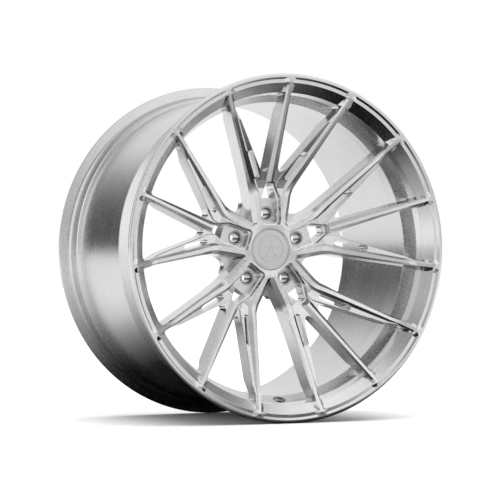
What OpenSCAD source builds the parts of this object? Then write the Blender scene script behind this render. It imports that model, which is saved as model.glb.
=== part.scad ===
// Forged racing wheel, 20 x 11 inch, five groups of three spokes.
// +Z is up, the wheel's axis lies along Y and its outer face looks towards -Y.
// The origin is the centre of the hub's mounting face.
// Every module below works in wheel axes: z runs outwards along the axle from the
// mounting face, and y runs up through the first lug hole. on_axle() turns it upright.

/* [Rim] */
// Radius of the rim flange, half of the overall diameter
flange_r = 274.5; // [240:0.5:300]
// Overall width across both flanges
rim_w = 304.4; // [260:0.1:380]
// Distance of the mounting face outboard of the rim's middle plane
face_offset = 35; // [20:1:50]
// Height of a flange above its bead seat
flange_h = 17.3; // [14:0.1:20]
// Thickness of a flange at its foot
flange_t = 12; // [9:0.5:16]
// Radius of the rounded edge of a flange
flange_edge_r = 3; // [1:0.5:4]
// Width of a bead seat
seat_w = 21; // [18:0.5:26]
// Slope of a bead seat
seat_slope = 5; // [3:0.5:8]
// Height of the safety hump above the inner edge of the bead seat
hump_h = 1.6; // [0.5:0.1:2.5]
// Width of the safety hump
hump_w = 4; // [3:0.5:6]
// Depth of the well below the bead seat
well_depth = 19.2; // [17:0.2:24]
// Width of the flat floor of the well
well_w = 27; // [20:1:40]
// Wall thickness of the well
well_t = 4.6; // [3.5:0.1:8]
// Length along the axle of the slope behind the well, for each millimetre that it rises
slope_run = 1.4; // [1:0.1:2]
// Wall thickness of the barrel
barrel_t = 4.4; // [3.5:0.1:8]
// Radius lost from the rear bead seat to the barrel
barrel_drop = 4.5; // [2:0.5:8]
// Radial width of the rear flange's flat face
rear_face_w = 9; // [6:0.5:12]

/* [Windows] */
// Radial width of the flat front ring
ring_w = 5.5; // [4:0.5:8]
// Depth of the step inside the front ring
step_h = 3; // [1.5:0.5:5]
// Radial width of the ledge below the step
ledge_w = 5.5; // [3:0.5:7]
// Depth of the sloped wall behind the ledge
wall_h = 14; // [10:1:18]
// Radial width of that sloped wall
wall_w = 14.5; // [10:0.5:16]
// Depth of the lettering band's front edge behind the front ring
band_depth = 34; // [28:1:40]
// Radius lost over the lettering band's front part
band_drop = 2.6; // [1:0.2:5]

/* [Spokes] */
// Number of spoke groups, one for each lug hole
groups = 5; // [5:1:5]
// Angle between neighbouring spoke ends at the rim
spoke_pitch = 24; // [22:0.5:25]
// Height of the hub's front face above the mounting face
hub_h = 45.2; // [38:0.2:60]
// Radius at which the spokes leave the flat hub face and rise to the rim
rise_r = 100; // [90:1:115]
// Depth of a spoke near the hub, front to back
spoke_depth = 34; // [28:1:40]
// Half width of a spoke where it meets the ring
tip_half = 3.4; // [2.5:0.1:6]
// Half width of a middle spoke at its foot
middle_half = 8.6; // [6:0.2:10]
// Half width of a group at the hub
group_half = 26; // [24:0.5:28]
// Half width of a group at its bend
bend_half = 36.5; // [33:0.5:42]
// Distance of the bend from the axle
bend_r = 95; // [85:1:105]
// Radius of the web's outer edge between the spokes
web_r = 123; // [115:1:135]
// Half width of the web
web_half = 19.5; // [16:0.5:24]
// Width of the slot in each side spoke
slot_w = 8.5; // [5:0.5:10]
// Length of that slot, end to end
slot_l = 56; // [40:1:60]

/* [Lug pockets] */
// Pitch circle diameter of the lug holes
lug_pcd = 114.3; // [112:0.1:120]
// Diameter of a lug hole
lug_hole_d = 14.5; // [12.5:0.1:16]
// Outer diameter of a steel lug seat
lug_seat_d = 24; // [22:0.5:26]
// Height of a lug seat above the pad
lug_seat_rise = 1.2; // [0.5:0.1:2]
// Depth of a lug seat in the pad
lug_seat_h = 12; // [8:0.5:15]
// Half width of a lug pocket
pocket_half = 16.5; // [14:0.5:19]
// Half width of the pocket's outer end
pocket_end_half = 6; // [4:0.5:10]
// Radius of the pocket's outer end
pocket_end_r = 104; // [98:1:108]
// Length over which the pocket narrows to its outer end
pocket_arch = 24; // [16:1:28]

/* [Hub] */
// Diameter of the hub bore
hub_bore_d = 66.1; // [56.1:0.1:73.1]
// Radius of the mounting pad
pad_r = 82; // [78:1:86]
// Thickness of the pad under a lug
pad_h = 25.2; // [20:0.2:30]
// Thickness of the pad in a valley between two groups
valley_h = 15; // [10:1:20]
// Radius of the central boss
boss_r = 42; // [40:0.5:46]
// Diameter of the small drilled hole at each valley's foot
drill_d = 6; // [4:0.5:8]
// Distance of that hole from the axle
drill_r = 52.5; // [50:0.5:60]
// Radius of the round scallop in the pad's edge at each valley
scallop_r = 15; // [10:1:18]

/* [Valve hole] */
// Diameter of the valve hole
valve_d = 11.3; // [8.3:0.1:11.5]
// Diameter of the flat spot around it
valve_spot_d = 20; // [16:0.5:24]
// Lean of the valve hole out of the wheel's plane
valve_lean = 20; // [10:1:30]
// Wall left around the valve hole between its two flat spots
valve_wall = 5.4; // [4:0.2:6]

/* [Centre cap] */
// Diameter of the centre cap
cap_d = 68; // [64:0.5:70]
// Thickness of the cap's rim
cap_h = 4; // [3:0.5:6]
// Diameter of the bore that the cap's skirt slides in
cap_bore_d = 62; // [58:0.5:64]
// Radial clearance between the cap and the boss
cap_gap = 0.2; // [0.1:0.05:0.4]
// Length of the cap's skirt
skirt_l = 12; // [8:1:14]
// Wall thickness of the skirt
skirt_t = 2.4; // [1.6:0.2:3.5]
// Wire diameter of the spring ring on the skirt
wire_d = 1.4; // [1:0.1:2]
// Cord diameter of the cap's seal
seal_d = 1.8; // [1.2:0.1:2.5]
// Thickness of the badge disc
badge_t = 1; // [0.6:0.1:1.5]
// Width of the cap's raised rim around the badge
cap_rim_w = 3; // [2:0.5:5]
// Depth of the badge below the cap's rim
badge_sink = 0.4; // [0.2:0.1:0.8]

/* [Hidden] */
$fn = 96;
eps = 0.01;

// Planes and radii that several pieces share
front_z = rim_w / 2 - face_offset;
back_z = front_z - rim_w;
seat_r = flange_r - flange_h;
seat_end_r = seat_r - seat_w * tan(seat_slope);
hump_r = seat_end_r + hump_h;
well_r = seat_r - well_depth;
barrel_r = seat_end_r - barrel_drop;
ring_r = flange_r - ring_w;
step_r = ring_r - step_h;
ledge_r = step_r - ledge_w;
wall_r = ledge_r - wall_w;
band_r = wall_r - band_drop;
well_inner_r = well_r - well_t;
face_z = hub_h;
ledge_z = front_z - step_h;
wall_z = ledge_z - wall_h;
band_z = front_z - band_depth;
rise_end_r = step_r - 4;
ridge_sink = 1;
back_lag = 10;
back_rise = 3;
valve_sink = 1;

// A flange narrows from its foot, where a small root meets the bead seat, to its edge
edge_t = flange_t * 0.45;
root_t = flange_t * 0.7;
root_h = 3;
foot_z = front_z - flange_t;
foot_inner_r = ledge_r - wall_w * (flange_t - step_h) / wall_h;
barrel_inner_r = barrel_r - barrel_t;

// Places along the axle where the rim's sections meet
hump_z = front_z - flange_t - seat_w;
well_front_z = hump_z - hump_w - (hump_r - well_r);
well_back_z = well_front_z - well_w;
barrel_front_z = well_back_z - (barrel_r - well_r) * slope_run;
rear_foot_z = back_z + flange_t;
rear_hump_z = rear_foot_z + seat_w;
barrel_back_z = rear_hump_z + hump_w * 2;

// Where the valve hole crosses the inner surface of the well's front wall
valve_r = (band_r + well_inner_r) / 2 + 1;
valve_z = (band_z + well_front_z) / 2 + 2;
valve_reach = 20;

// Places in a spoke group
tip_r = rise_end_r;
side_tip = [tip_r * sin(spoke_pitch), tip_r * cos(spoke_pitch)];
side_across = [cos(spoke_pitch), -sin(spoke_pitch)];
outer_tip = side_tip + side_across * tip_half;
inner_tip = side_tip - side_across * tip_half;
past_tip = 1.12;
neck = [group_half + 2, boss_r + 8];
bend = [bend_half, bend_r];
web_corner = [web_half, web_r - 2];
window_foot = [middle_half - 0.6, web_r];
slot_mid = [37, 132.5];
slot_lean = 29.7;
pocket_side_r = 10;
pocket_tip_r = 4;
window_foot_r = 4;
window_side_r = 3;
corner_n = 5;

// Places on the hub
scallop_place = pad_r + scallop_r * 0.45;
seat_bottom_z = pad_h - lug_seat_h;
seat_top_z = pad_h + lug_seat_rise;
cone_r = lug_seat_d / 2 - 2;
cone_h = (cone_r - lug_hole_d / 2) * 1.7;

// Places in the cap
cap_sink = 2;
cap_edge = 1;
cap_front_z = face_z - cap_sink;
cap_back_z = cap_front_z - cap_h;
skirt_r = cap_bore_d / 2 - cap_gap;
ring_z = cap_back_z - skirt_l + wire_d * 2;
seal_z = cap_back_z - seal_d * 1.5;
groove_gap = 0.05;

module on_axle() {
    rotate([90, 0, 0]) children();
}

module each_group() {
    for (i = [0 : groups - 1]) rotate([0, 0, i * 360 / groups]) children();
}

// A polygon with each corner rounded to radius r
function unit(v) = v / norm(v);
function turn(a) = a > 180 ? a - 360 : a < -180 ? a + 360 : a;
function corner(a, b, c, r) =
    let (u = unit(a - b), w = unit(c - b), half = acos(u * w) / 2,
         m = b + unit(u + w) * r / sin(half),
         p = b + u * r / tan(half) - m, q = b + w * r / tan(half) - m,
         a0 = atan2(p.y, p.x), sweep = turn(atan2(q.y, q.x) - a0))
    [for (i = [0 : corner_n]) m + r * [cos(a0 + sweep * i / corner_n), sin(a0 + sweep * i / corner_n)]];
function rounded(pts, radii) =
    let (n = len(pts))
    [for (i = [0 : n - 1]) each corner(pts[(i + n - 1) % n], pts[i], pts[(i + 1) % n], radii[i])];
function mirrored(p) = [-p.x, p.y];

// ---- rim sections, as profiles of radius and height along the axle ----

// What is cut from a flange's square edge to round it. side is 1 at the outer flange, -1 at the inner
module flange_edge(edge_z, side) {
    lip = flange_r - flange_edge_r;
    difference() {
        translate([lip, edge_z - flange_edge_r]) square(2 * flange_edge_r);
        translate([lip, edge_z - side * flange_edge_r]) circle(flange_edge_r);
    }
}

module outer_flange_profile() {
    difference() {
        polygon([
            [ring_r, front_z], [flange_r, front_z],
            [flange_r, front_z - edge_t], [seat_r + root_h, front_z - root_t],
            [seat_r, foot_z], [foot_inner_r, foot_z], [ledge_r, ledge_z], [step_r, ledge_z]]);
        intersection() {
            flange_edge(front_z, 1);
            translate([0, front_z - flange_edge_r]) square(flange_r * 2);
        }
    }
}

module outer_bead_seat_profile() {
    polygon([
        [foot_inner_r, foot_z], [seat_r, foot_z], [seat_end_r, hump_z],
        [hump_r, hump_z - hump_w / 2], [seat_end_r, hump_z - hump_w], [band_r, band_z], [wall_r, wall_z]]);
}

module well_front_wall_profile() {
    polygon([
        [band_r, band_z], [seat_end_r, hump_z - hump_w],
        [well_r, well_front_z], [well_inner_r, well_front_z]]);
}

module well_floor_profile() {
    translate([well_inner_r, well_back_z]) square([well_t, well_w]);
}

module well_slope_profile() {
    polygon([
        [well_inner_r, well_back_z], [well_r, well_back_z],
        [barrel_r, barrel_front_z], [barrel_inner_r, barrel_front_z]]);
}

module barrel_profile() {
    translate([barrel_inner_r, barrel_back_z]) square([barrel_t, barrel_front_z - barrel_back_z]);
}

module inner_bead_seat_profile() {
    polygon([
        [barrel_inner_r, barrel_back_z], [barrel_r, barrel_back_z],
        [seat_end_r, rear_hump_z + hump_w], [hump_r, rear_hump_z + hump_w / 2],
        [seat_end_r, rear_hump_z], [seat_r, rear_foot_z], [barrel_inner_r, rear_foot_z]]);
}

module inner_flange_profile() {
    difference() {
        polygon([
            [barrel_inner_r, rear_foot_z], [seat_r, rear_foot_z],
            [seat_r + root_h, back_z + root_t], [flange_r, back_z + edge_t],
            [flange_r, back_z], [flange_r - rear_face_w, back_z], [seat_r - root_h, back_z + edge_t]]);
        intersection() {
            flange_edge(back_z, -1);
            translate([0, back_z - flange_edge_r]) square([flange_r * 2, 2 * flange_edge_r]);
        }
    }
}

module outer_flange() {
    color([0.80, 0.80, 0.81]) on_axle() rotate_extrude() outer_flange_profile();
}

module outer_bead_seat() {
    color([0.72, 0.72, 0.73]) on_axle() rotate_extrude() outer_bead_seat_profile();
}

// The valve hole leans outwards through the front wall of the well.
module valve_axis() {
    rotate([0, 0, 180]) translate([0, valve_r, valve_z]) rotate([-90 - valve_lean, 0, 0])
        translate([0, 0, valve_sink]) children();
}

module well_front_wall() {
    color([0.74, 0.74, 0.75]) on_axle() difference() {
        rotate_extrude() well_front_wall_profile();
        valve_axis() translate([0, 0, -valve_reach]) cylinder(h = 3 * valve_reach, d = valve_d);
        valve_axis() translate([0, 0, -valve_reach]) cylinder(h = valve_reach, d = valve_spot_d);
        valve_axis() translate([0, 0, valve_wall]) cylinder(h = valve_reach, d = valve_spot_d);
    }
}

module well_floor() {
    color([0.72, 0.72, 0.73]) on_axle() rotate_extrude() well_floor_profile();
}

module well_slope() {
    color([0.70, 0.70, 0.71]) on_axle() rotate_extrude() well_slope_profile();
}

module barrel() {
    color([0.66, 0.66, 0.67]) on_axle() rotate_extrude() barrel_profile();
}

module inner_bead_seat() {
    color([0.70, 0.70, 0.71]) on_axle() rotate_extrude() inner_bead_seat_profile();
}

module inner_flange() {
    color([0.75, 0.75, 0.76]) on_axle() rotate_extrude() inner_flange_profile();
}

// ---- spokes ----

// Everything between the hub and the rim that a spoke may fill, as radius and height
module spoke_envelope() {
    polygon([
        [boss_r, pad_h], [boss_r, face_z], [rise_r, face_z],
        [rise_end_r, front_z - ridge_sink], [ring_r - ridge_sink, front_z - ridge_sink],
        [step_r, ledge_z], [ledge_r, ledge_z], [wall_r, wall_z], [band_r, band_z],
        [rise_r + back_lag, face_z - spoke_depth + back_rise],
        [pad_r, face_z - spoke_depth], [pad_r, pad_h]]);
}

module group_outline() {
    parting = group_half / tan(180 / groups);
    right = [[group_half, parting], neck, bend, outer_tip, outer_tip * past_tip];
    polygon(concat([[0, 0]], right, [for (i = [len(right) - 1 : -1 : 0]) mirrored(right[i])]));
}

// The gap between the middle spoke and a side spoke
module window_outline() {
    middle_tip = [tip_half, tip_r];
    polygon(concat(
        corner(middle_tip, window_foot, web_corner, window_foot_r),
        corner(window_foot, web_corner, inner_tip, window_side_r),
        [inner_tip, inner_tip * past_tip, middle_tip * past_tip, middle_tip]));
}

module slot_outline() {
    translate(slot_mid) rotate(-slot_lean) {
        square([slot_w, slot_l - slot_w], center = true);
        for (s = [-1, 1]) translate([0, s * (slot_l - slot_w) / 2]) circle(d = slot_w);
    }
}

module pocket_outline() {
    right = [[pocket_half, hub_bore_d / 4], [pocket_half, pocket_end_r - pocket_arch],
             [pocket_end_half, pocket_end_r]];
    outline = concat(right, [for (i = [len(right) - 1 : -1 : 0]) mirrored(right[i])]);
    polygon(rounded(outline, [1, pocket_side_r, pocket_tip_r, pocket_tip_r, pocket_side_r, 1]));
}

module spoke_group(i) {
    color([0.82, 0.82, 0.83]) on_axle() rotate([0, 0, -i * 360 / groups]) intersection() {
        rotate_extrude() spoke_envelope();
        translate([0, 0, back_z]) linear_extrude(rim_w) difference() {
            group_outline();
            window_outline();
            mirror([1, 0]) window_outline();
            slot_outline();
            mirror([1, 0]) slot_outline();
            pocket_outline();
        }
    }
}

// ---- hub ----

module pad_outline() {
    difference() {
        circle(pad_r);
        each_group() rotate(180 / groups) translate([0, scallop_place]) circle(scallop_r);
    }
}

// The pad is full height below the boss and the spoke groups, and lower in the valleys between
module pad_body() {
    linear_extrude(valley_h) pad_outline();
    linear_extrude(pad_h) intersection() {
        pad_outline();
        union() {
            circle(boss_r);
            each_group() group_outline();
        }
    }
}

module hub_pad() {
    color([0.70, 0.70, 0.71]) on_axle() difference() {
        pad_body();
        translate([0, 0, -eps]) cylinder(h = pad_h + 2 * eps, d = hub_bore_d);
        each_group() translate([0, lug_pcd / 2, -eps]) cylinder(h = pad_h + 2 * eps, d = lug_hole_d);
        each_group() translate([0, lug_pcd / 2, seat_bottom_z]) cylinder(h = pad_h, d = lug_seat_d);
        each_group() rotate([0, 0, 180 / groups])
            translate([0, drill_r, -eps]) cylinder(h = pad_h, d = drill_d);
    }
}

module hub_boss() {
    color([0.80, 0.80, 0.81]) on_axle() difference() {
        translate([0, 0, pad_h]) cylinder(h = face_z - pad_h, r = boss_r);
        translate([0, 0, pad_h - eps]) cylinder(h = rim_w, d = cap_bore_d);
        translate([0, 0, cap_back_z]) cylinder(h = rim_w, r = cap_d / 2 + cap_gap);
    }
}

module lug_seats() {
    color([0.45, 0.45, 0.47]) on_axle() each_group() translate([0, lug_pcd / 2, 0]) difference() {
        translate([0, 0, seat_bottom_z]) cylinder(h = seat_top_z - seat_bottom_z, d = lug_seat_d);
        translate([0, 0, seat_bottom_z - eps]) cylinder(h = lug_seat_h * 2, d = lug_hole_d);
        translate([0, 0, seat_top_z - cone_h])
            cylinder(h = cone_h + eps, r1 = lug_hole_d / 2, r2 = cone_r);
    }
}

// ---- centre cap ----

// A square groove round the skirt for a ring of round cord
module skirt_groove(z, cord_d) {
    rotate_extrude() translate([skirt_r - cord_d, z - cord_d / 2 - groove_gap])
        square([cord_d + 1, cord_d + 2 * groove_gap]);
}

module cap_shell() {
    color([0.82, 0.82, 0.83]) on_axle() difference() {
        union() {
            translate([0, 0, cap_back_z]) cylinder(h = cap_h - cap_edge, d = cap_d);
            translate([0, 0, cap_front_z - cap_edge])
                cylinder(h = cap_edge, d1 = cap_d, d2 = cap_d - 2 * cap_edge);
            translate([0, 0, cap_back_z - skirt_l]) cylinder(h = skirt_l, r = skirt_r);
        }
        translate([0, 0, cap_back_z - skirt_l - eps]) cylinder(h = skirt_l, r = skirt_r - skirt_t);
        translate([0, 0, cap_front_z - badge_t - badge_sink]) cylinder(h = cap_h, d = cap_d - 2 * cap_rim_w);
        skirt_groove(ring_z, wire_d);
        skirt_groove(seal_z, seal_d);
    }
}

module cap_badge() {
    color([0.88, 0.88, 0.88]) on_axle() translate([0, 0, cap_front_z - badge_t - badge_sink])
        cylinder(h = badge_t, d = cap_d - 2 * cap_rim_w);
}

module cap_spring_ring() {
    color([0.35, 0.35, 0.37]) on_axle() rotate_extrude()
        translate([skirt_r - wire_d / 2, ring_z]) circle(d = wire_d);
}

module cap_seal() {
    color([0.08, 0.08, 0.08]) on_axle() rotate_extrude()
        translate([skirt_r - seal_d / 2, seal_z]) circle(d = seal_d);
}

hub_pad();
hub_boss();
spoke_group(0);  // spoke_group_1
spoke_group(1);  // spoke_group_2
spoke_group(2);  // spoke_group_3
spoke_group(3);  // spoke_group_4
spoke_group(4);  // spoke_group_5
outer_flange();
outer_bead_seat();
well_front_wall();
well_floor();
well_slope();
barrel();
inner_bead_seat();
inner_flange();
lug_seats();
cap_shell();
cap_badge();
cap_spring_ring();
cap_seal();
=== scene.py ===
# Forged racing wheel: the detailed pieces, finishes, light and camera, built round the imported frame.
# Lengths in the tables are millimetres in wheel axes: x across, up, and out along the axle
# from the mounting face. spot() turns them into the frame's metres.
import math
import bmesh
import bpy
from mathutils import Matrix, Vector

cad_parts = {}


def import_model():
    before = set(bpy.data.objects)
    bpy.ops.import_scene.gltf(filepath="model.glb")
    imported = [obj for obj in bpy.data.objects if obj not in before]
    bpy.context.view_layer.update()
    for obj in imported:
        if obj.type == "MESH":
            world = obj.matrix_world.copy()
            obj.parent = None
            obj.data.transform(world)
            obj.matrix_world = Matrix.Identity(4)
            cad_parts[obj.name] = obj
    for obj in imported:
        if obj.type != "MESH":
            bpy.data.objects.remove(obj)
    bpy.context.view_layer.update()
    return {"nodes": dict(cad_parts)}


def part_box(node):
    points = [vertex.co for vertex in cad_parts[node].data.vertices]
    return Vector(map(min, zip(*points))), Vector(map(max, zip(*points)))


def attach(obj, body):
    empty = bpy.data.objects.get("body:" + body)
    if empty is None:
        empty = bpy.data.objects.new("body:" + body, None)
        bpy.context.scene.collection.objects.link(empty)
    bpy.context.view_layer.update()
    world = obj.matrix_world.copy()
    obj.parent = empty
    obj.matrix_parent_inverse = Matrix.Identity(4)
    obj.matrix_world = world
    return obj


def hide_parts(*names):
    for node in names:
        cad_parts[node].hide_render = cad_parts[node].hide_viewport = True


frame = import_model()

MM = 0.001
WHEEL = "wheel"
CAP = "centre_cap"
GROUPS = 5

# ---- sizes read from the frame, in millimetres ----


def reach(node, corner, axis):
    return round(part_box(node)[corner][axis] / MM, 2)


FRONT = -reach("outer_flange", 0, 1)
BACK = -reach("inner_flange", 1, 1)
FLANGE_R = reach("outer_flange", 1, 2)
SEAT_R = reach("outer_bead_seat", 1, 2)
WELL_R = reach("well_floor", 1, 2)
BARREL_R = reach("barrel", 1, 2)
WELL_FRONT = -reach("well_floor", 0, 1)
WELL_BACK = -reach("well_floor", 1, 1)
BARREL_FRONT = -reach("barrel", 0, 1)
HUB_FACE = -reach("hub_boss", 0, 1)
BOSS_R = reach("hub_boss", 1, 2)
PAD_H = -reach("hub_pad", 0, 1)
CAP_FRONT = -reach("cap_shell", 0, 1)
CAP_R = reach("cap_shell", 1, 2)
SEAT_TOP = -reach("lug_seats", 0, 1)
BADGE_FRONT = -reach("cap_badge", 0, 1)
BADGE_R = reach("cap_badge", 1, 2)

# ---- shared dimensions of the face ----
FLANGE_T = 12.0
BEAD_SEAT_W = 21.0
RING_R = FLANGE_R - 5.5
STEP_R = RING_R - 3.0
LEDGE_R = STEP_R - 5.5
WALL_R = LEDGE_R - 14.5
BAND_R = WALL_R - 2.6
LEDGE = FRONT - 3.0
WALL = LEDGE - 14.0
BAND = FRONT - 34.0
HUMP = FRONT - FLANGE_T - BEAD_SEAT_W
HUMP_W = 4.0
SEAT_END_R = SEAT_R - BEAD_SEAT_W * math.tan(math.radians(5))
HUMP_R = SEAT_END_R + 1.6
WELL_INNER_R = WELL_R - 4.6
BARREL_INNER_R = BARREL_R - 4.4
BARREL_LAP = 4
RISE_R = 100.0
RISE_BLEND = 12.0
TIP_R = STEP_R - 4.0
RIDGE_SINK = 0.04
SPOKE_ANGLE = math.radians(24)
SPOKE_DEPTH = 33.0
FLANK_DROP = 17
LUG_R = 57.15
LUG_HOLE_R = 7.25
VALLEY_H = 15.0


def spot(x, up, out):
    return Vector((x * MM, -out * MM, up * MM))


# ---- modelling helpers ----


def deselect():
    if bpy.context.object and bpy.context.object.mode != "OBJECT":
        bpy.ops.object.mode_set(mode="OBJECT")
    bpy.ops.object.select_all(action="DESELECT")


def take(piece):
    deselect()
    piece.select_set(True)
    bpy.context.view_layer.objects.active = piece


def edit(piece):
    take(piece)
    bpy.ops.object.mode_set(mode="EDIT")
    bpy.ops.mesh.select_all(action="SELECT")


def leave():
    bpy.ops.object.mode_set(mode="OBJECT")


def apply(piece, modifier):
    take(piece)
    bpy.ops.object.modifier_apply(modifier=modifier.name)


def loop_of(name, points, fill="NGON"):
    """A primitive circle whose corners are moved onto the points of an outline."""
    deselect()
    bpy.ops.mesh.primitive_circle_add(vertices=len(points), radius=1, fill_type=fill)
    piece = bpy.context.object
    piece.name = name
    piece.data.name = name
    for corner, point in zip(piece.data.vertices, points):
        corner.co = point
    return piece


def face_outwards(piece):
    edit(piece)
    bpy.ops.mesh.remove_doubles(threshold=0.002 * MM)
    bpy.ops.mesh.select_all(action="SELECT")
    bpy.ops.mesh.normals_make_consistent(inside=False)
    leave()


def turned(name, profile, steps=240, centre=(0, 0)):
    """A profile of (radius, out) points spun round the axle, or round an axis beside it."""
    x, up = centre
    piece = loop_of(name, [spot(x + radius, up, out) for radius, out in profile], "NOTHING")
    edit(piece)
    bpy.ops.mesh.spin(steps=steps, angle=2 * math.pi, center=spot(x, up, 0), axis=(0, 1, 0))
    face_outwards(piece)
    return piece


def lofted(name, sections):
    """A solid drawn through sections that all have the same number of points."""
    piece = loop_of(name, sections[0])
    edit(piece)
    for before, after in zip(sections, sections[1:]):
        bpy.ops.mesh.extrude_region_move()
        mesh = bmesh.from_edit_mesh(piece.data)
        for corner in [v for v in mesh.verts if v.select]:
            nearest = min(range(len(before)), key=lambda i: (before[i] - corner.co).length)
            corner.co = after[nearest]
        bmesh.update_edit_mesh(piece.data)
    face_outwards(piece)
    return piece


def plate(name, outline, low, high):
    """An outline of (x, up) points between two heights; each height is a number or a rule of x and up."""
    def level(rule):
        return [spot(x, up, rule(x, up) if callable(rule) else rule) for x, up in outline]
    return lofted(name, [level(low), level(high)])


def combine(piece, tool, operation):
    modifier = piece.modifiers.new(operation.lower(), "BOOLEAN")
    modifier.operation = operation
    modifier.solver = "EXACT"
    modifier.object = tool
    apply(piece, modifier)
    bpy.data.objects.remove(tool)


def join_to(piece, tool):
    combine(piece, tool, "UNION")


def cut(piece, tool):
    combine(piece, tool, "DIFFERENCE")


def soften(piece, width, angle):
    """Breaks the sharp edges with a small bevel and smooths the shading between them."""
    edit(piece)
    bpy.ops.mesh.remove_doubles(threshold=0.02 * MM)
    bpy.ops.mesh.select_all(action="SELECT")
    bpy.ops.mesh.dissolve_limited(angle_limit=math.radians(0.6))
    leave()
    bevel = piece.modifiers.new("edges", "BEVEL")
    bevel.width = width * MM
    bevel.segments = 2
    bevel.limit_method = "ANGLE"
    bevel.angle_limit = math.radians(angle)
    bevel.use_clamp_overlap = True
    bevel.harden_normals = False
    apply(piece, bevel)
    smooth(piece)


def smooth(piece, angle=35):
    take(piece)
    bpy.ops.object.shade_smooth_by_angle(angle=math.radians(angle))
    weighted = piece.modifiers.new("normals", "WEIGHTED_NORMAL")
    weighted.keep_sharp = True
    apply(piece, weighted)


def turn_corner(before, corner, after, radius, steps):
    """The arc that rounds one corner of an outline."""
    b = Vector(corner)
    u = (Vector(before) - b).normalized()
    w = (Vector(after) - b).normalized()
    half = u.angle(w) / 2
    if radius <= 0 or abs(math.pi / 2 - half) < 0.01:
        return [tuple(b)]
    middle = b + (u + w).normalized() * radius / math.sin(half)
    start = b + u * radius / math.tan(half) - middle
    end = b + w * radius / math.tan(half) - middle
    a0 = math.atan2(start.y, start.x)
    sweep = (math.atan2(end.y, end.x) - a0 + math.pi) % (2 * math.pi) - math.pi
    turns = [a0 + sweep * i / steps for i in range(steps + 1)]
    return [(middle.x + radius * math.cos(a), middle.y + radius * math.sin(a)) for a in turns]


def rounded(points, steps=5):
    """An outline of (x, y, radius) points with each corner rounded to its radius."""
    outline = []
    for i, (x, y, radius) in enumerate(points):
        before = points[i - 1][:2]
        after = points[(i + 1) % len(points)][:2]
        outline += turn_corner(before, (x, y), after, radius, steps)
    return outline


def both_sides(points):
    """Completes an outline whose right half is given, from the bottom up."""
    return points + [(-x, *rest) for x, *rest in reversed(points)]


# ---- rim sections ----


def outer_flange():
    profile = rounded([
        (RING_R, FRONT, 0.5), (FLANGE_R, FRONT, 2.6), (FLANGE_R, FRONT - 5.4, 1.8),
        (SEAT_R + 3.4, FRONT - 8.2, 5.0), (SEAT_R, FRONT - FLANGE_T, 1.5),
        (SEAT_END_R, HUMP, 0.8), (HUMP_R, HUMP - HUMP_W / 2, 1.2), (SEAT_END_R, HUMP - HUMP_W, 1.2),
        (BAND_R + 3, BAND - 3, 0), (BAND_R + 1.8, BAND, 0), (BAND_R + 1.8, BAND + 1.8, 0.4),
        (BAND_R, BAND + 2.2, 0.6), (WALL_R, WALL, 1.0),
        (LEDGE_R, LEDGE, 0.5), (STEP_R, LEDGE, 0.4)])
    ring = turned("outer_lip", profile)
    smooth(ring, 25)
    return ring


def drop_centre():
    profile = rounded([
        (BAND_R, BAND, 0.4), (BAND_R + 1.8, BAND, 0), (BAND_R + 3, BAND - 3, 0),
        (SEAT_END_R, HUMP - HUMP_W, 0),
        (WELL_R, WELL_FRONT, 7), (WELL_R, WELL_BACK, 7), (BARREL_R, BARREL_FRONT, 6),
        (BARREL_R, BARREL_FRONT - BARREL_LAP, 0), (BARREL_INNER_R, BARREL_FRONT - BARREL_LAP, 0),
        (BARREL_INNER_R, BARREL_FRONT, 6), (WELL_INNER_R, WELL_BACK, 6), (WELL_INNER_R, WELL_FRONT, 4)])
    ring = turned("drop_centre_ring", profile)
    drill_valve_hole(ring)
    smooth(ring, 25)
    return ring


def barrel_tube():
    rear = BACK + FLANGE_T + BEAD_SEAT_W + 2 * HUMP_W
    profile = [
        (BARREL_R, BARREL_FRONT - BARREL_LAP), (BARREL_R, rear),
        (BARREL_INNER_R, rear), (BARREL_INNER_R, BARREL_FRONT - BARREL_LAP)]
    tube = turned("barrel_tube", profile)
    smooth(tube)
    return tube


def rear_flange():
    foot = BACK + FLANGE_T
    hump = foot + BEAD_SEAT_W
    profile = rounded([
        (BARREL_INNER_R, hump + 2 * HUMP_W, 0), (BARREL_R, hump + 2 * HUMP_W, 0),
        (SEAT_END_R, hump + HUMP_W, 2.0), (HUMP_R, hump + HUMP_W / 2, 1.2), (SEAT_END_R, hump, 0.8),
        (SEAT_R, foot, 1.5), (SEAT_R + 3.4, BACK + 8.2, 5.0), (FLANGE_R, BACK + 5.4, 1.8),
        (FLANGE_R, BACK, 2.6), (FLANGE_R - 9, BACK, 1.5), (SEAT_R - 3, BACK + 5, 3.0),
        (BARREL_INNER_R, foot, 2.0)])
    ring = turned("inner_flange_ring", profile)
    smooth(ring, 25)
    return ring


# ---- spokes ----


def ridge_out(radius):
    """Height of the spokes' ridges at a distance from the axle."""
    slope = (FRONT - 0.4 - HUB_FACE) / (TIP_R - RISE_R)
    start = RISE_R - RISE_BLEND
    if radius <= start:
        return HUB_FACE
    if radius < RISE_R + RISE_BLEND:
        return HUB_FACE + slope * (radius - start) ** 2 / (4 * RISE_BLEND)
    return min(HUB_FACE + slope * (radius - RISE_R), FRONT - RIDGE_SINK)


def flare(gap, radius):
    """Extra half width of a spoke as it rounds into the ring, at a gap before the ring's edge."""
    if gap >= radius:
        return 0
    if gap <= 0:
        return radius
    return radius - math.sqrt(radius ** 2 - (radius - gap) ** 2)


def ease(value, low, high, at_low, at_high):
    share = min(1, max(0, (value - low) / (high - low)))
    return at_low + (at_high - at_low) * share


# Distances from the axle at which a spoke's tip is drawn
TIP_STATIONS = (
    234, 238, 240.5, 242, 243.4, 244.6, 245.6, 246.4, 249, 252, 254.5, 256.2, 257.6, 258.8, 259.8, 260.5,
    261.5, 263, 264.5, 265.8, 266.8, 267.6, 268.3, 268.8)


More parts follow.
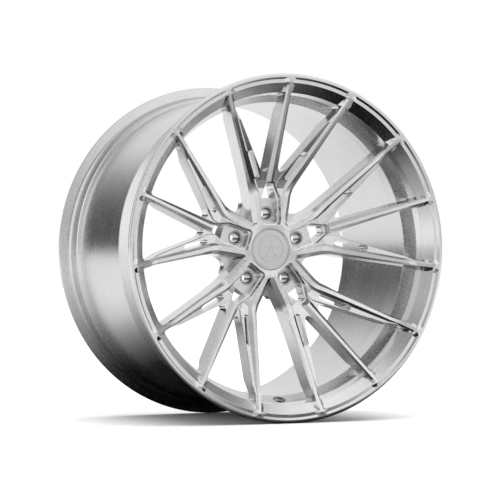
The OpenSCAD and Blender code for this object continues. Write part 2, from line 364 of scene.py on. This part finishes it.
def tip_levels(radius):
    """Half widths and heights of a spoke's tip: ridge, shoulder, flank and back."""
    top = ridge_out(radius)
    ridge = 2.3 + flare(RING_R - radius, 7.0)
    shoulder = max(4.7 + flare(LEDGE_R - radius, 6.5), ridge + 1.5)
    flank = ease(radius, 236, 250, 6.0, 5.8) + flare(WALL_R + 0.3 - radius, 5.0)
    back = ease(radius, 236, 250, 6.8, 6.6) + flare(BAND_R + 0.3 - radius, 5.0)
    if radius < LEDGE_R:
        shoulder_out = min(top - 2.6, LEDGE - 0.1)
    else:
        shoulder_out = LEDGE - 0.1
    if radius > WALL_R:
        inside = LEDGE - max(0, LEDGE_R - radius) * (LEDGE - WALL) / (LEDGE_R - WALL_R)
        return [(ridge, top), (shoulder, shoulder_out), (flank, inside - 1.0), (back, inside - 2.2)]
    flank_out = min(top - 9, WALL + ease(radius, 234, 244, -7, -0.3))
    back_out = BAND - 0.5 + ease(radius, 234, 242, -3, 0)
    return [(ridge, top), (shoulder, shoulder_out), (flank, flank_out), (back, back_out)]


def tip_frame(angle, radius):
    """Turns an offset along the rim into x and up."""
    middle = Vector((math.sin(angle), math.cos(angle))) * radius
    across = Vector((math.cos(angle), -math.sin(angle)))
    return lambda t: middle + across * t


# Middle spoke: distance up, half width, shoulder drop
MIDDLE_STATIONS = (
    (99, 7.6, 5.0), (108, 8.6, 5.6), (130, 8.0, 5.4), (160, 7.2, 4.8), (190, 6.4, 4.2), (220, 5.6, 3.4))
MIDDLE_RIDGE = 2.2


def across_spoke(up, levels):
    """The section of an upright spoke from its half widths and heights."""
    return [spot(-t, up, out) for t, out in reversed(levels)] + [spot(t, up, out) for t, out in levels]


def middle_spoke():
    sections = []
    for up, half, drop in MIDDLE_STATIONS:
        top = ridge_out(up)
        levels = [
            (MIDDLE_RIDGE, top), (half, top - drop), (half + 0.8, top - FLANK_DROP),
            (half + 1.8, top - SPOKE_DEPTH)]
        sections.append(across_spoke(up, levels))
    for radius in TIP_STATIONS:
        sections.append(across_spoke(radius, tip_levels(radius)))
    return lofted("middle_spoke", sections)


# Side spoke: distance up, outer edge, width and drop of the outer slope, ridge width, facet width,
# facet drop, inner edge
SIDE_STATIONS = (
    (28, 27.6, 6.5, 5.0, 8.0, 0.8, 0.8, 9.0),
    (62, 33.6, 7.0, 5.5, 9.0, 0.8, 0.8, 9.0),
    (86, 37.0, 6.4, 5.0, 8.0, 1.5, 1.5, 9.0),
    (97, 39.9, 5.8, 4.5, 7.5, 4.6, 5.0, 9.0),
    (110, 46.2, 4.6, 3.8, 7.2, 6.0, 6.2, 11.0),
    (122, 51.9, 3.6, 3.2, 7.0, 6.5, 6.6, 19.6),
    (145, 63.5, 3.0, 2.9, 6.6, 6.2, 6.2, 35.9),
    (172, 77.2, 2.9, 2.8, 6.0, 5.0, 5.2, 54.9),
    (202, 92.5, 2.8, 2.7, 5.4, 3.6, 4.0, 76.0))


def side_spoke(side):
    sections = []
    for up, outer, slope, slope_drop, ridge, facet, drop, inner in SIDE_STATIONS:
        top = ridge_out(math.hypot(outer - slope, up))
        start = outer - slope
        foot = start - ridge - facet
        points = [
            (outer + 1.6, top - SPOKE_DEPTH), (outer + 0.7, top - FLANK_DROP), (outer, top - slope_drop),
            (start, top), (start - ridge, top), (foot, top - drop), (inner + 1.0, top - drop - 0.4),
            (inner, top - drop - 1.8), (inner - 0.8, top - FLANK_DROP), (inner - 1.8, top - SPOKE_DEPTH)]
        sections.append([spot(side * x, up, out) for x, out in points])
    for radius in TIP_STATIONS:
        place = tip_frame(SPOKE_ANGLE, radius)
        (a, top), (b, b_out), (c, c_out), (d, d_out) = tip_levels(radius)
        lean = ease(radius, 234, 254, 1, 0)
        points = [
            (d, d_out), (c, c_out), (b - lean * 1.2, b_out), (a, top), (-a - lean * 1.0, top),
            (-(a + b) / 2 - lean * 1.2, (top + b_out) / 2), (-b - lean * 0.8, b_out - 0.02),
            (-b - lean * 1.6, b_out - 0.6), (-c - lean * 1.6, c_out - 0.02), (-d - lean * 1.6, d_out)]
        sections.append([spot(side * place(t).x, place(t).y, out) for t, out in points])
    return lofted("side_spoke", sections)


WEB_DROP = 6.6
WEB_RISE = 0.43
WEB_T = 23


def web_plate():
    """The web that joins the three spokes of a group, rising towards the rim."""
    def top(x, up):
        return HUB_FACE - WEB_DROP + max(0, up - RISE_R + 2) * WEB_RISE

    outline = rounded(both_sides([
        (36, 96, 0), (38, 112, 0), (27, 131, 0), (21.5, 127.5, 1.5), (16, 123.5, 3.5), (11.5, 123.5, 3.5),
        (8, 130, 0)]))
    return plate("web", outline, lambda x, up: top(x, up) - WEB_T, top)


# Lug pocket, from its mouth down: height, half width, half width of its outer end, end, start
POCKET_LEVELS = (
    (HUB_FACE + 20, 19.5, 10.5, 113.0, 34.5),
    (HUB_FACE - 0.5, 17.4, 7.6, 107.5, 37.6),
    (HUB_FACE - 8.5, 16.4, 6.4, 105.4, 38.6),
    (HUB_FACE - 9, 14.6, 5.4, 103.6, 40.4),
    (PAD_H - 0.5, 13.6, 4.8, 102.4, 41.4),
    (-20, 13.2, 4.4, 101.6, 42.5))


def pocket_sections():
    sections = []
    for out, half, end_half, end, start in POCKET_LEVELS:
        outline = rounded(both_sides([(half, start, 6.0), (half, end - 25, 12.0), (end_half, end, 3.5)]))
        sections.append([spot(x, up, out) for x, up in outline])
    return sections


# Through slot between two spokes: middle, lean, half width and half length between its round ends
SLOT_MID = (36.9, 132.5)
SLOT_LEAN = math.radians(29.7)
SLOT_HALF = 4.2
SLOT_REACH = 20.5


def slot_cutter(side):
    sections = []
    c, s = math.cos(SLOT_LEAN), math.sin(SLOT_LEAN)
    for out, half in ((FRONT, SLOT_HALF + 3.4), (HUB_FACE + 5, SLOT_HALF), (-20, SLOT_HALF - 0.6)):
        outline = []
        for start, reach_up in ((0, SLOT_REACH), (math.pi, -SLOT_REACH)):
            for i in range(25):
                a = start + math.pi * i / 24
                outline.append((half * math.cos(a), reach_up + half * math.sin(a)))
        sections.append([
            spot(side * (SLOT_MID[0] + x * c + y * s), SLOT_MID[1] - x * s + y * c, out)
            for x, y in outline])
    return lofted("slot_cutter", sections)


def spoke_group():
    group = web_plate()
    for side in (1, -1):
        join_to(group, side_spoke(side))
    join_to(group, middle_spoke())
    cut(group, lofted("pocket_cutter", pocket_sections()))
    for side in (1, -1):
        cut(group, slot_cutter(side))
    bore = [(0, HUB_FACE + 5), (BOSS_R, HUB_FACE + 5), (BOSS_R, -30), (0, -30)]
    cut(group, turned("bore_cutter", bore, 96))
    cut(group, dish_cutter())
    for side in (1, -1):
        part_at_valley(group, side)
    soften(group, 0.75, angle=20)
    return group


# Shallow cone that the hub's face is dished to round the cap
DISH_R = 47.5
DISH_FOOT_R = BOSS_R - 8
DISH_DROP = 2.3


def dished(radius):
    """Height of the hub's face near the cap."""
    return HUB_FACE - DISH_DROP * (DISH_R - radius) / (DISH_R - DISH_FOOT_R)


def dish_cutter():
    foot_out = HUB_FACE - DISH_DROP
    profile = [
        (0, foot_out), (DISH_FOOT_R, foot_out), (DISH_R, HUB_FACE), (DISH_R + 9, HUB_FACE + 1.5),
        (DISH_R + 9, HUB_FACE + 8), (0, HUB_FACE + 8)]
    return turned("dish_cutter", profile, 180)


def part_at_valley(group, side):
    """Trims what reaches past the middle of the valley beside the group."""
    half = math.pi / GROUPS
    away = (side * math.cos(half), 0, -math.sin(half))
    edit(group)
    bpy.ops.mesh.bisect(plane_co=(0, 0, 0), plane_no=away, use_fill=True, clear_outer=True)
    leave()


def copies_round(piece, names):
    """One copy of a piece for each group, each with its own mesh."""
    made = []
    for i, name in enumerate(names):
        copy = piece.copy()
        copy.data = piece.data.copy()
        copy.name = name
        copy.data.name = name
        copy.data.transform(Matrix.Rotation(2 * math.pi * i / GROUPS, 4, "Y"))
        bpy.context.scene.collection.objects.link(copy)
        made.append(copy)
    bpy.data.objects.remove(piece)
    return made


def joined(pieces, name):
    """Several pieces made one, without changing their shapes."""
    take(pieces[0])
    for piece in pieces:
        piece.select_set(True)
    bpy.ops.object.join()
    pieces[0].name = name
    pieces[0].data.name = name
    return pieces[0]


# ---- hub ----
ROOT_CENTRE = 54.5
# Round foot of a valley: radius and height
ROOT_LEVELS = (
    (3.0, VALLEY_H - 2), (3.6, HUB_FACE - 5.4), (6.0, HUB_FACE - 2.6), (9.2, HUB_FACE),
    (12.4, HUB_FACE + 2.6))


def valley_root():
    """The web in the foot of a valley, scooped round on its outer side."""
    outline = [(-1.2, BOSS_R - 1), (1.2, BOSS_R - 1), (8.3, 50.3), (2.9, 53.2), (-2.9, 53.2), (-8.3, 50.3)]
    root = plate(
        "valley_root", outline, VALLEY_H, lambda x, up: min(HUB_FACE, dished(math.hypot(x, up))))
    scoop = [(0, ROOT_LEVELS[0][1])] + list(ROOT_LEVELS) + [(0, ROOT_LEVELS[-1][1])]
    cut(root, turned("root_cutter", scoop, 60, centre=(0, ROOT_CENTRE)))
    root.data.transform(Matrix.Rotation(math.pi / GROUPS, 4, "Y"))
    smooth(root, 30)
    return root


CAP_POCKET_R = CAP_R + 0.2
CAP_SHELF = CAP_FRONT - 4.0
CAP_BORE_R = 31.0


def hub_boss():
    """The ring round the cap, opened by the lug pockets, with the webs between the spoke groups."""
    profile = rounded([
        (CAP_POCKET_R, CAP_SHELF, 0.3), (CAP_POCKET_R, HUB_FACE, 0), (BOSS_R + 0.05, HUB_FACE, 0),
        (BOSS_R + 0.05, PAD_H, 0), (CAP_BORE_R, PAD_H, 0), (CAP_BORE_R, CAP_SHELF, 0.5)])
    boss = turned("hub_boss_ring", profile, 180)
    cut(boss, dish_cutter())
    for i in range(GROUPS):
        pocket = lofted("pocket_cutter", pocket_sections())
        pocket.data.transform(Matrix.Rotation(2 * math.pi * i / GROUPS, 4, "Y"))
        cut(boss, pocket)
    smooth(boss, 30)
    roots = copies_round(valley_root(), ["valley_root_%d" % i for i in range(GROUPS)])
    return joined([boss] + roots, "hub_boss_ring")


def softened_copy(node, name, width):
    """A carried-over solid with its facets merged and its edges broken."""
    piece = frame["nodes"][node].copy()
    piece.data = piece.data.copy()
    piece.parent = None
    for key in list(piece.keys()):
        del piece[key]
    piece.name = name
    piece.data.name = name
    bpy.context.scene.collection.objects.link(piece)
    soften(piece, width, angle=40)
    return piece


def lug_seat():
    """A pressed-in steel seat: flat lip, ring groove, cone and bore."""
    profile = rounded([
        (LUG_HOLE_R, PAD_H - 12, 0.2), (12, PAD_H - 12, 0), (12, SEAT_TOP, 0.7), (10.9, SEAT_TOP, 0.2),
        (10.9, SEAT_TOP - 1.0, 0.2), (10.1, SEAT_TOP - 1.0, 0.2), (10.1, SEAT_TOP - 0.2, 0.3),
        (9.3, SEAT_TOP - 0.2, 0.3), (8.9, SEAT_TOP - 1.6, 0.2), (LUG_HOLE_R, SEAT_TOP - 4.8, 0.5)])
    seat = turned("lug_seat", profile, 72, centre=(0, LUG_R))
    smooth(seat)
    return seat


# ---- centre cap ----
SKIRT_R = CAP_BORE_R - 0.2
SKIRT_T = 2.4
SKIRT_END = CAP_SHELF - 12.0
RING_WIRE = 1.4
RING_OUT = SKIRT_END + 2.8
SEAL_CORD = 1.8
SEAL_OUT = CAP_SHELF - 2.7
BADGE_SEAT = BADGE_FRONT - 1.0


def groove(out, cord):
    """The corners of a square groove round the skirt, from low to high."""
    low = out - cord / 2 - 0.05
    high = out + cord / 2 + 0.05
    return [(SKIRT_R, low, 0), (SKIRT_R - cord, low, 0), (SKIRT_R - cord, high, 0), (SKIRT_R, high, 0)]


def cap_shell():
    profile = [
        (0, CAP_SHELF, 0), (SKIRT_R - SKIRT_T, CAP_SHELF, 0.8), (SKIRT_R - SKIRT_T, SKIRT_END, 0.4),
        (SKIRT_R, SKIRT_END, 0.8)]
    profile += groove(RING_OUT, RING_WIRE) + groove(SEAL_OUT, SEAL_CORD)
    profile += [
        (SKIRT_R, CAP_SHELF, 0.3), (CAP_R, CAP_SHELF, 0.4), (CAP_R, CAP_FRONT, 1.1),
        (BADGE_R + 1.1, CAP_FRONT, 0.5), (BADGE_R + 0.05, BADGE_FRONT - 0.2, 0),
        (BADGE_R + 0.05, BADGE_SEAT, 0), (0, BADGE_SEAT, 0)]
    shell = turned("cap_dish", rounded(profile), 180)
    smooth(shell)
    return shell


BAR_COUNT = 5
MARK_DEPTH = 0.6
MARK_HALF = 0.75


def badge_bar(i):
    """A cutter for one engraved line of the badge's plain five-bar mark."""
    corners = [(MARK_HALF, 7.5), (MARK_HALF, 17.5), (-MARK_HALF, 17.5), (-MARK_HALF, 7.5)]
    outline = rounded([(x, up, 0.6) for x, up in corners], steps=4)
    bar = plate("badge_bar", outline, BADGE_FRONT - MARK_DEPTH, BADGE_FRONT + 1)
    bar.data.transform(Matrix.Rotation(2 * math.pi * i / BAR_COUNT, 4, "Y"))
    return bar


def ring_mark(radius):
    """An engraved ring in the badge's face, from its outer edge inwards."""
    floor_out = BADGE_FRONT - MARK_DEPTH
    outer = radius + MARK_HALF
    inner = radius - MARK_HALF
    return [
        (outer, BADGE_FRONT, 0.12), (outer, floor_out, 0.1), (inner, floor_out, 0.1),
        (inner, BADGE_FRONT, 0.12)]


def cap_badge():
    profile = [(0, BADGE_SEAT, 0), (BADGE_R, BADGE_SEAT, 0), (BADGE_R, BADGE_FRONT, 0.35)]
    profile += ring_mark(21.5) + ring_mark(3.6) + [(0, BADGE_FRONT, 0)]
    badge = turned("cap_badge_disc", rounded(profile), 180)
    for i in range(BAR_COUNT):
        cut(badge, badge_bar(i))
    smooth(badge, 20)
    return badge


def round_cord(name, radius, out, cord):
    """A ring of round wire or cord."""
    turns = [math.pi * i / 10 for i in range(20)]
    circle = [(radius + cord / 2 * math.cos(a), out + cord / 2 * math.sin(a)) for a in turns]
    ring = turned(name, circle, 144)
    smooth(ring)
    return ring


# ---- valve hole ----
# Where the hole comes through the well's front wall, and the way it points
VALVE_FOOT = spot(0, -242.877, 72.953)
VALVE_WAY = Vector((0, 0.34202, -0.93969))
VALVE_HOLE_R = 5.65
VALVE_FACE_R = 10


def valve_cutter(radius, start, end):
    deselect()
    middle = VALVE_FOOT + VALVE_WAY * (start + end) / 2 * MM
    turn = VALVE_WAY.to_track_quat("Z", "Y").to_euler()
    bpy.ops.mesh.primitive_cylinder_add(
        vertices=64, radius=radius * MM, depth=(end - start) * MM, location=middle, rotation=turn)
    tool = bpy.context.object
    bpy.ops.object.transform_apply(location=True, rotation=True, scale=True)
    return tool


def drill_valve_hole(ring):
    cut(ring, valve_cutter(VALVE_FACE_R, -16, 0.6))
    cut(ring, valve_cutter(VALVE_HOLE_R, -20, 30))


# ---- shader tools ----


class Value:
    """A number that varies over a surface, so that sums on it add Math nodes."""

    def __init__(self, finish, socket):
        self.finish = finish
        self.socket = socket

    def sum(self, operation, *others):
        sockets = dict(enumerate((self, *others)))
        return Value(self.finish, self.finish.node("Math", {"operation": operation}, sockets))

    def __add__(self, other):
        return self.sum("ADD", other)

    def __sub__(self, other):
        return self.sum("SUBTRACT", other)

    def __rsub__(self, other):
        return (self * -1) + other

    def __mul__(self, other):
        return self.sum("MULTIPLY", other)

    def __truediv__(self, other):
        return self.sum("DIVIDE", other)

    def __pow__(self, other):
        return self.sum("POWER", other)

    def is_above(self, other):
        return self.sum("GREATER_THAN", other)

    def is_below(self, other):
        return self.sum("LESS_THAN", other)

    __radd__ = __add__
    __rmul__ = __mul__


class Finish:
    """One material's node tree and the helpers that fill it."""

    def __init__(self, name, owner=None):
        self.block = owner or bpy.data.materials.new(name)
        self.block.use_nodes = True
        self.tree = self.block.node_tree
        self.shader = self.tree.nodes.get("Principled BSDF")

    def node(self, kind, settings, sockets, out=0):
        made = self.tree.nodes.new("ShaderNode" + kind)
        for key, value in settings.items():
            if key == "stops":
                self.fill_ramp(made.color_ramp.elements, value)
            else:
                setattr(made, key, value)
        for key, value in sockets.items():
            self.put(made.inputs[key], value)
        return made.outputs[out]

    @staticmethod
    def fill_ramp(elements, stops):
        while len(elements) < len(stops):
            elements.new(0.5)
        for element, (place, shade) in zip(elements, stops):
            element.position = place
            element.color = (shade, shade, shade, 1)

    def put(self, socket, value):
        if isinstance(value, Value):
            value = value.socket
        if isinstance(value, bpy.types.NodeSocket):
            self.tree.links.new(value, socket)
        else:
            socket.default_value = value

    def value(self, *parts, **out):
        return Value(self, self.node(*parts, **out))

    def place(self):
        return self.node("TexCoord", {}, {}, out="Object")

    def axes(self):
        split = self.tree.nodes.new("ShaderNodeSeparateXYZ")
        self.tree.links.new(self.place(), split.inputs[0])
        return [Value(self, split.outputs[i]) for i in range(3)]

    def round_axle(self):
        """Radius, angle and distance along the axle of each point."""
        x, y, z = self.axes()
        radius = (x * x + z * z) ** 0.5
        return radius, x.sum("ARCTAN2", z), y

    def distance_from(self, x0, y0, span=3.0):
        """Share of a span between each point of the floor and a place on it."""
        x, y, _ = self.axes()
        return ((x - x0) * (x - x0) + (y - y0) * (y - y0)) ** 0.5 / span

    def grey(self, share):
        return self.triple(share, share, share)

    def triple(self, x, y, z):
        return self.node("CombineXYZ", {}, {0: x, 1: y, 2: z})

    def noise(self, vector, scale, detail=2.0, rough=0.5):
        sockets = {"Vector": vector, "Scale": scale, "Detail": detail, "Roughness": rough}
        return self.value("TexNoise", {}, sockets)

    def ramp(self, value, *stops):
        return self.value("ValToRGB", {"stops": stops}, {"Fac": value})

    def bump(self, height, strength, distance, under=None):
        sockets = {"Height": height, "Strength": strength, "Distance": distance}
        if under is not None:
            sockets["Normal"] = under
        return self.node("Bump", {}, sockets)

    def tint(self, share, dark, light):
        mixed = self.tree.nodes.new("ShaderNodeMix")
        mixed.data_type = "RGBA"
        for place, value in ((0, share), (6, dark), (7, light)):
            self.put(mixed.inputs[place], (*value, 1) if isinstance(value, tuple) else value)
        return mixed.outputs[2]

    def finish(self, **sockets):
        for key, value in sockets.items():
            self.put(self.shader.inputs[key.replace("_", " ")], value)
        return self.block


# ---- finishes ----


def spread(value, low, high):
    """Stretches a noise's middle range over 0 to 1."""
    return (value - low) / (high - low)


def satin_metal(
        name, dark, light, rough, grain=700, mottle=230, turned_lines=0.0, relief=0.3, marks=False):
    """Raw machined aluminium: fine grain, mottling and, on turned pieces, lines round the axle."""
    f = Finish(name)
    place = f.place()
    fine = spread(f.noise(place, grain, 2.0, 0.6), 0.3, 0.7)
    patchy = spread(f.noise(place, mottle, 3.0, 0.6), 0.3, 0.7)
    cloudy = spread(f.noise(place, 22, 2.0, 0.5), 0.3, 0.7)
    share = fine * 0.4 + patchy * 0.35 + cloudy * 0.25
    height = fine * 0.5 + patchy * 0.5
    if turned_lines:
        radius, angle, along = f.round_axle()
        lines = f.noise(f.triple(radius * 900, angle * 2, along * 900), 1.0, 2.0, 0.7)
        height = height + lines * turned_lines
        share = share * 0.75 + spread(lines, 0.3, 0.7) * 0.25
    if marks:
        share, height = add_marks(f, share, height)
    return f.finish(
        Base_Color=f.tint(share, dark, light), Metallic=1.0, Roughness=rough + share * 0.12 - 0.06,
        Normal=f.bump(height, relief, 0.00005))


def add_marks(f, share, height):
    """Plain engraved ticks on the sloped band, a short row at each valley between the spoke groups."""
    radius, angle, along = f.round_axle()
    turn = (angle / (2 * math.pi / GROUPS) + 10.5).sum("FRACT")
    row = (turn - 0.5).sum("ABSOLUTE").is_below(0.085)
    tick = (turn * 118).sum("FRACT").is_above(0.45) * (turn * 23.6).sum("FRACT").is_above(0.22)
    start = -(BAND - 7) * MM
    band = along.is_above(start) * along.is_below(start + 3.6 * MM) * radius.is_below(WALL_R * MM)
    engraved = row * tick * band
    return share * (1 - engraved * 0.75), height - engraved * 3


def seal_rubber():
    f = Finish("seal_rubber")
    grain = f.noise(f.place(), 900, 3.0, 0.6)
    return f.finish(
        Base_Color=f.tint(grain, (0.008, 0.008, 0.009), (0.02, 0.02, 0.021)), Roughness=0.5 + grain * 0.2,
        Normal=f.bump(grain, 0.3, 0.0001))


# ---- placing pieces ----


def wear(piece, material, body, slot, *nodes):
    piece.data.materials.clear()
    piece.data.materials.append(material)
    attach(piece, body)
    if nodes:
        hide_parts(*nodes)


face_metal = satin_metal("forged_face", (0.64, 0.64, 0.645), (0.91, 0.91, 0.91), 0.18)
lip_metal = satin_metal(
    "turned_lip", (0.70, 0.70, 0.705), (0.95, 0.95, 0.95), 0.18, turned_lines=0.8, relief=0.2)
rim_metal = satin_metal(
    "rim_satin", (0.62, 0.62, 0.625), (0.86, 0.86, 0.86), 0.25, turned_lines=0.6, relief=0.18)
band_metal = satin_metal(
    "marked_band", (0.60, 0.60, 0.605), (0.88, 0.88, 0.88), 0.26, turned_lines=0.6, relief=0.18, marks=True)
back_metal = satin_metal("machined_back", (0.66, 0.66, 0.665), (0.88, 0.88, 0.88), 0.26)
steel = satin_metal("seat_steel", (0.50, 0.50, 0.51), (0.72, 0.72, 0.73), 0.25, turned_lines=0.5)
cap_metal = satin_metal(
    "cap_aluminium", (0.60, 0.60, 0.605), (0.80, 0.80, 0.80), 0.36, grain=1100, mottle=420)
spring = satin_metal("spring_steel", (0.35, 0.35, 0.36), (0.5, 0.5, 0.51), 0.3)
rubber = seal_rubber()

wear(outer_flange(), lip_metal, WHEEL, "forged_face", "outer_flange", "outer_bead_seat")
wear(drop_centre(), band_metal, WHEEL, "rim_satin", "well_front_wall", "well_floor", "well_slope")
wear(barrel_tube(), rim_metal, WHEEL, "rim_satin", "barrel")
wear(rear_flange(), rim_metal, WHEEL, "rim_satin", "inner_bead_seat", "inner_flange")
groups = copies_round(spoke_group(), ["forged_spokes_%d" % (i + 1) for i in range(GROUPS)])
for i, group in enumerate(groups):
    wear(group, face_metal, WHEEL, "forged_face", "spoke_group_%d" % (i + 1))
wear(hub_boss(), face_metal, WHEEL, "forged_face", "hub_boss")
wear(softened_copy("hub_pad", "hub_pad_plate", 0.8), back_metal, WHEEL, "machined_back", "hub_pad")
seats = copies_round(lug_seat(), ["lug_seat_%d" % (i + 1) for i in range(GROUPS)])
wear(joined(seats, "lug_seat_set"), steel, WHEEL, "seat_steel", "lug_seats")
wear(cap_shell(), cap_metal, CAP, "cap_aluminium", "cap_shell")
wear(cap_badge(), cap_metal, CAP, "cap_aluminium", "cap_badge")
ring_wire = round_cord("spring_ring_wire", SKIRT_R - RING_WIRE / 2, RING_OUT, RING_WIRE)
wear(ring_wire, spring, CAP, "spring_steel", "cap_spring_ring")
seal_cord = round_cord("seal_cord", SKIRT_R - SEAL_CORD / 2, SEAL_OUT, SEAL_CORD)
wear(seal_cord, rubber, CAP, "seal_rubber", "cap_seal")

# ---- floor, light and camera ----
GROUND = -FLANGE_R * MM


def floor():
    """A plain pale floor. What the metal mirrors of it is darker, with painted shade pooled round the
    wheel, darkest close to it.
    """
    deselect()
    bpy.ops.mesh.primitive_plane_add(size=60, location=(0, 0, GROUND))
    ground = bpy.context.object
    ground.name = "floor"
    f = Finish("floor_white")
    mirrored = f.value("LightPath", {}, {}, out="Is Glossy Ray")
    # Painted shade for mirrored rays only: a dark pool in front of the wheel, then a painted shadow under
    # its footprint
    shade = f.ramp(f.distance_from(0.10, -0.38), (0.05, 0.01), (0.10, 0.22), (0.25, 0.42), (0.45, 0.62))
    shade = shade * f.ramp(f.distance_from(0.05, 0.12), (0.08, 0.03), (0.14, 0.5), (0.2, 1.0))
    f.finish(Base_Color=f.tint(mirrored, (0.95, 0.95, 0.95), f.grey(shade)), Roughness=0.95)
    f.shader.inputs["Specular IOR Level"].default_value = 0.0
    ground.data.materials.append(f.block)


def sky_light(name, lean, strength, spread_angle):
    """A wide soft light from overhead that lights the floor evenly."""
    data = bpy.data.lights.new(name, "SUN")
    data.energy = strength
    data.angle = math.radians(spread_angle)
    lamp = bpy.data.objects.new(name, data)
    lamp.rotation_euler = lean
    lamp.visible_glossy = False
    bpy.context.scene.collection.objects.link(lamp)


# Soft boxes round the wheel: direction they stand in, cosine of the angle where they end, width of
# their soft edge, brightness added
SOFT_BOXES = (
    ((-0.94, 0.0, 0.34), 0.86, 0.10, 0.50),
    ((0.45, 0.85, 0.15), 0.75, 0.20, 0.28),
    ((0.35, -0.6, 0.72), 0.80, 0.15, 0.42),
    ((-0.30, 0.95, 0.04), 0.94, 0.05, -0.62),
    ((-0.62, -0.62, 0.4), 0.88, 0.09, -0.34),
    ((0.97, -0.26, 0.0), 0.90, 0.08, -0.25),
)
ROOM = 0.60


def world():
    """Soft light from all round. The camera itself sees plain white."""
    block = bpy.data.worlds.new("studio")
    bpy.context.scene.world = block
    f = Finish("studio", block)
    way = f.node("TexCoord", {}, {}, out="Generated")
    light = None
    for towards, edge, soft, added in SOFT_BOXES:
        aim = Vector(towards).normalized()
        facing = f.value("VectorMath", {"operation": "DOT_PRODUCT"}, {0: way, 1: aim}, out="Value")
        sockets = {
            "Value": facing, "From Min": edge - soft, "From Max": min(1.0, edge + soft),
            "To Min": 0.0, "To Max": added}
        lit = f.value("MapRange", {"interpolation_type": "SMOOTHSTEP"}, sockets)
        light = lit + ROOM if light is None else light + lit
    seen = f.value("LightPath", {}, {}, out="Is Camera Ray")
    strength = seen.sum("MULTIPLY_ADD", 1.0 - light, light)
    back = f.tree.nodes["Background"]
    back.inputs["Color"].default_value = (1, 1, 1, 1)
    f.put(back.inputs["Strength"], strength)


CAMERA_PLACE = (-1.5453, -3.1977, -0.0404)
CAMERA_YAW = -25.56
CAMERA_PITCH = 90.63
LENS = 158.2


def camera():
    data = bpy.data.cameras.new("camera")
    data.lens = LENS
    data.sensor_width = 36
    data.clip_end = 60
    eye = bpy.data.objects.new("camera", data)
    eye.location = CAMERA_PLACE
    eye.rotation_euler = (math.radians(CAMERA_PITCH), 0, math.radians(CAMERA_YAW))
    bpy.context.scene.collection.objects.link(eye)
    bpy.context.scene.camera = eye


floor()
sky_light("overhead", (0.05, 0, 0), 2.6, 70)
world()
camera()
bpy.context.scene.view_settings.view_transform = "Standard"
